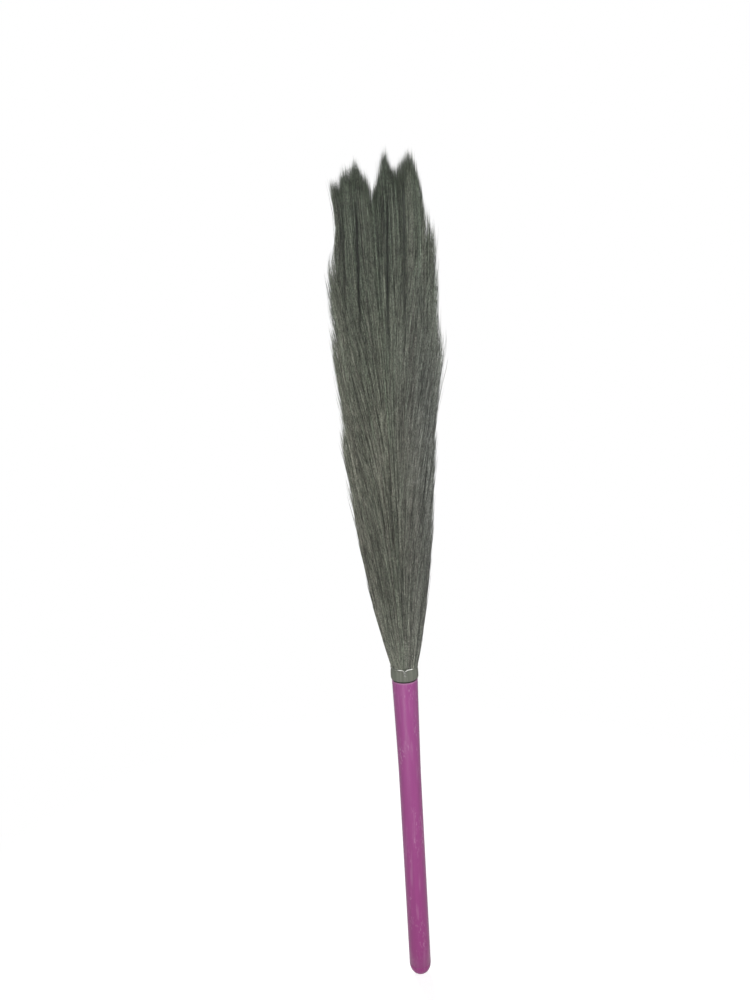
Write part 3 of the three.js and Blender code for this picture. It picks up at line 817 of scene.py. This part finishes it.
loop = []
for turn in np.linspace(TAIL_OPENING, math.tau - TAIL_OPENING, LOOP_POINTS):
    loop.append((LOOP_RADIUS * math.sin(turn), -LOOP_RADIUS * math.cos(turn), NECK_WIRE_Z))
route = tail(0)[::-1] + loop + tail(math.pi)
bpy.ops.object.select_all(action="DESELECT")
bpy.ops.curve.primitive_nurbs_path_add(location=(0, 0, 0))
wire = bpy.context.active_object
wire.name = wire.data.name = "neck_wire_round"
wire.data.splines.clear()
spline = wire.data.splines.new("NURBS")
spline.points.add(len(route) - 1)
for point, spot in zip(spline.points, route):
    point.co = (*spot, 1)
spline.order_u = 4
spline.use_endpoint_u = True
spline.resolution_u = 4
wire.data.bevel_depth = WIRE_RADIUS
wire.data.bevel_resolution = 4
wire.data.use_fill_caps = True
bpy.ops.object.convert(target="MESH")
wire = bpy.context.active_object
bpy.ops.object.shade_smooth_by_angle(angle=math.radians(50))
wire.data.materials.clear()
wire.data.materials.append(wire_material)
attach(wire, "root")
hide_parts("neck_wire")

# Studio
# A plain white floor keeps the broom's shadow. Soft lamps stand above the front, to the right, behind
# and low down for the handle's sheen. The camera is level with the bristles and looks slightly down.
WHITE = (1, 1, 1, 1)
FLOOR_GREY = (0.5, 0.5, 0.5, 1)
FLOOR_SIZE = 30
FLOOR_GLOW = 0.66
SHADOW_NEAR = 0.25
SHADOW_FAR = 0.9
ROOM_LIGHT = 0.14
LAMP_AIM = Vector((0, 0, 0.35))
# Name, place, size and power of each lamp.
LAMPS = [
    ("key_lamp", (-0.25, -2.4, 1.35), 1.0, 58),
    ("fill_lamp", (2.0, -0.9, 0.7), 1.4, 20),
    ("back_lamp", (-0.6, 2.4, 1.35), 1.2, 70),
    ("low_lamp", (-0.26, -0.72, -0.15), 0.2, 3.0),
]
CAMERA_PLACE = (-0.0255, -0.9443, 0.6371)
CAMERA_LENS = 27.03
CAMERA_PITCH = math.radians(9.38)
CAMERA_ROLL = math.radians(3.38)


def seen(start):
    """1 for rays that show the background: from the camera, in gloss and through glass."""
    kinds = ["Is Camera Ray", "Is Glossy Ray", "Is Transmission Ray"]
    camera, glossy, through = (start.node("ShaderNodeLightPath", output=kind) for kind in kinds)
    return start.maths("MAXIMUM", start.maths("MAXIMUM", camera, glossy), through)


bpy.ops.object.select_all(action="DESELECT")
bpy.ops.mesh.primitive_plane_add(size=FLOOR_SIZE, location=(0, 0, END_Z))
floor = bpy.context.active_object
floor.name = "studio_floor"
bpy.ops.object.transform_apply(location=True, rotation=True, scale=True)
floor_material = bpy.data.materials.new("white_floor")
floor_material.use_nodes = True
floor_material.node_tree.nodes.clear()
start = Signal(floor_material.node_tree)
shown = seen(start)
lit = start.node("ShaderNodeAddShader", inputs={
    0: start.node("ShaderNodeBsdfDiffuse", inputs={"Color": FLOOR_GREY}),
    1: start.node("ShaderNodeEmission", inputs={"Color": WHITE, "Strength": shown * FLOOR_GLOW})})
floor_place = start.node("ShaderNodeTexCoord", output="Object")
from_broom = start.node("ShaderNodeVectorMath", {"operation": "LENGTH"}, {0: floor_place}, output="Value")
past_shadow = ranged(from_broom, SHADOW_NEAR, SHADOW_FAR, soft=True)
plain_white = start.node("ShaderNodeEmission", inputs={"Color": WHITE})
start.node("ShaderNodeOutputMaterial", inputs={
    "Surface": start.node("ShaderNodeMixShader", inputs={0: past_shadow * shown, 1: lit, 2: plain_white})})
floor.data.materials.append(floor_material)

world = bpy.data.worlds.new("white_room")
bpy.context.scene.world = world
world.use_nodes = True
world.node_tree.nodes.clear()
start = Signal(world.node_tree)
shown = seen(start)
start.node("ShaderNodeOutputWorld", inputs={"Surface": start.node(
    "ShaderNodeBackground", inputs={"Color": WHITE, "Strength": shown + (1 - shown) * ROOM_LIGHT})})

for name, lamp_place, size, power in LAMPS:
    lamp = bpy.data.objects.new(name, bpy.data.lights.new(name, "AREA"))
    lamp.data.shape = "DISK"
    lamp.data.size = size
    lamp.data.energy = power
    lamp.location = lamp_place
    lamp.rotation_euler = (LAMP_AIM - lamp.location).to_track_quat("-Z", "Y").to_euler()
    lamp.visible_camera = False
    bpy.context.collection.objects.link(lamp)

camera = bpy.data.objects.new("camera", bpy.data.cameras.new("camera"))
camera.data.lens = CAMERA_LENS
camera.data.clip_start = 0.01
camera_turn = Matrix.Rotation(math.pi / 2 - CAMERA_PITCH, 4, "X") @ Matrix.Rotation(-CAMERA_ROLL, 4, "Z")
camera.matrix_world = Matrix.Translation(CAMERA_PLACE) @ camera_turn
bpy.context.collection.objects.link(camera)
bpy.context.scene.camera = camera
bpy.context.scene.view_settings.view_transform = "Standard"
